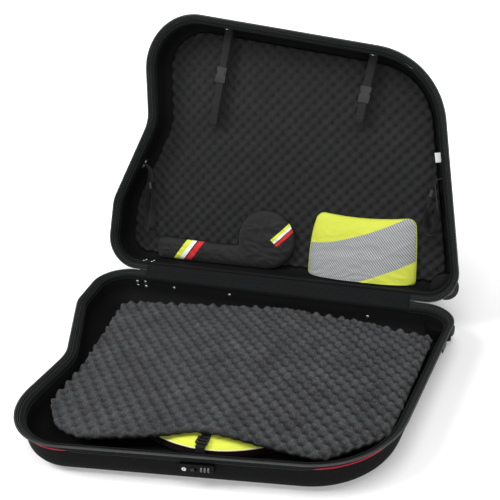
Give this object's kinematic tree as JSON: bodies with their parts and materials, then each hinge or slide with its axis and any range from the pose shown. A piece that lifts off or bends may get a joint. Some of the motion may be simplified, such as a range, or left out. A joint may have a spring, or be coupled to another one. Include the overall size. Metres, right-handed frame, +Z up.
{
  "type": "bike travel case",
  "caption": "Soft-walled clamshell bike travel case standing open: moulded trays joined by a fabric hinge, with zip rims, corner wheels, straps, padding foam, wheel bag, pouch and lock.",
  "frame": {"origin": "on the flat underside of the base tray, 430 mm in front of the hinge line and level with the middle of the hinge's length", "axes": "+X along the hinge to the wheeled side, +Y from the front edge to the hinge, +Z up; the base tray lies flat and the lid stands open at 105 degrees"},
  "size_m": [1.2122, 1.199, 0.9497],
  "materials": {
    "shell": "matt laminate with a fine weave over moulded EVA",
    "zip_tape": "matt woven tape",
    "zip_teeth": "satin",
    "binding": "matt grosgrain",
    "red_piping": "satin",
    "foam": "matt open-cell foam",
    "lime_fabric": "matt woven nylon",
    "pouch_fabric": "matt woven nylon with grey twill panels",
    "black_fabric": "padded neoprene, matt",
    "webbing": "ribbed webbing",
    "buckle_plastic": "satin",
    "black_plastic": "fine grain",
    "hub_plastic": "satin",
    "rivet_steel": "bright",
    "axle_steel": "turned",
    "tyre": "matt",
    "lock_body": "satin",
    "dial": "satin",
    "zip_metal": "gunmetal",
    "label": "printed-satin ribbon, blank"
  },
  "bodies": {
    "base": {"base_shell": "shell", "base_zip_teeth": "zip_teeth", "base_zip_tape": "zip_tape", "base_edge_binding": "binding", "base_piping": "red_piping", "base_hinge_strip": "zip_tape", "base_wheel_housing": "black_plastic", "base_wheel_axle": "axle_steel", "base_foot": "black_plastic", "base_rivets": "rivet_steel", "base_foam_sheet": "foam", "wheel_bag": "lime_fabric", "wheel_bag_strap": "webbing", "wheel_bag_ladder_lock": "black_plastic", "grab_handle": "webbing", "lock_case": "lock_body", "lock_dial_axle": "axle_steel"},
    "lid": {"lid_shell": "shell", "lid_zip_teeth": "zip_teeth", "lid_zip_tape": "zip_tape", "lid_edge_binding": "binding", "lid_piping": "red_piping", "lid_hinge_strip": "zip_tape", "lid_wheel_housing": "black_plastic", "lid_wheel_axle": "axle_steel", "lid_foot": "black_plastic", "lid_rivets": "rivet_steel", "lid_foam_panel": "foam", "accessory_pouch": "pouch_fabric", "drivetrain_cover": "black_fabric", "seat_strap": "webbing", "seat_buckle_socket": "buckle_plastic", "seat_buckle_plug": "buckle_plastic", "head_strap": "webbing", "head_buckle_socket": "buckle_plastic", "head_buckle_plug": "buckle_plastic", "left_strap": "webbing", "left_strap_slide": "black_plastic", "right_strap": "webbing", "right_strap_slide": "black_plastic", "care_label": "label", "handle_end_caps": "black_plastic"},
    "base_wheel": {"base_wheel_tyre": "tyre", "base_wheel_hub": "hub_plastic", "base_wheel_bearings": "axle_steel"},
    "lid_wheel": {"lid_wheel_tyre": "tyre", "lid_wheel_hub": "hub_plastic", "lid_wheel_bearings": "axle_steel"},
    "dial_left": {"lock_dial_left": "dial"},
    "dial_middle": {"lock_dial_middle": "dial"},
    "dial_right": {"lock_dial_right": "dial"},
    "release_button": {"lock_button": "black_plastic"},
    "key_barrel": {"lock_key_barrel": "axle_steel"},
    "left_slider": {"left_zip_slider": "zip_metal"},
    "right_slider": {"right_zip_slider": "zip_metal"},
    "left_pull": {"left_zip_pull": "zip_metal"},
    "right_pull": {"right_zip_pull": "zip_metal"},
    "carry_grip": {"carry_handle": "black_plastic"}
  },
  "joints": [
    {"name": "lid_hinge", "type": "hinge", "parent": "base", "child": "lid", "pos_m": [0, 0.43, 0.112], "axis": [1, 0, 0], "range_deg": [0, 105]},
    {"name": "base_wheel_spin", "type": "hinge", "parent": "base", "child": "base_wheel", "pos_m": [0.545, 0.392, 0.05], "axis": [0, 0, 1], "continuous": true},
    {"name": "lid_wheel_spin", "type": "hinge", "parent": "lid", "child": "lid_wheel", "pos_m": [0.545, 0.51131, 0.12955], "axis": [0, 0.9659, -0.2588], "continuous": true},
    {"name": "dial_left_turn", "type": "hinge", "parent": "base", "child": "dial_left", "pos_m": [0.0656, -0.36608, 0.0685], "axis": [0.9862, 0.1656, 0], "continuous": true},
    {"name": "dial_middle_turn", "type": "hinge", "parent": "base", "child": "dial_middle", "pos_m": [0.07399, -0.36467, 0.0685], "axis": [0.9862, 0.1656, 0], "continuous": true},
    {"name": "dial_right_turn", "type": "hinge", "parent": "base", "child": "dial_right", "pos_m": [0.08237, -0.36327, 0.0685], "axis": [0.9862, 0.1656, 0], "continuous": true},
    {"name": "release_button_slide", "type": "slide", "parent": "base", "child": "release_button", "axis": [0.9862, 0.1656, 0], "range_m": [0, 0.005], "stiffness_N_per_m": 150},
    {"name": "key_turn", "type": "hinge", "parent": "base", "child": "key_barrel", "pos_m": [0.02544, -0.37749, 0.0685], "axis": [0.1656, -0.9862, 0], "range_deg": [0, 90]},
    {"name": "left_zip_slide", "type": "slide", "parent": "base", "child": "left_slider", "axis": [-1, 0, 0], "range_m": [0, 0.018]},
    {"name": "right_zip_slide", "type": "slide", "parent": "base", "child": "right_slider", "axis": [1, 0, 0], "range_m": [0, 0.018]},
    {"name": "left_pull_swing", "type": "hinge", "parent": "left_slider", "child": "left_pull", "pos_m": [-0.489, 0.4356, 0.1082], "axis": [0, 0, 1], "range_deg": [0, 170]},
    {"name": "right_pull_swing", "type": "hinge", "parent": "right_slider", "child": "right_pull", "pos_m": [0.455, 0.4356, 0.1082], "axis": [0, 0, -1], "range_deg": [0, 170]},
    {"name": "carry_handle_slide", "type": "slide", "parent": "lid", "child": "carry_grip", "axis": [0.1656, 0.2552, 0.9526], "range_m": [0, 0.009]}
  ]
}
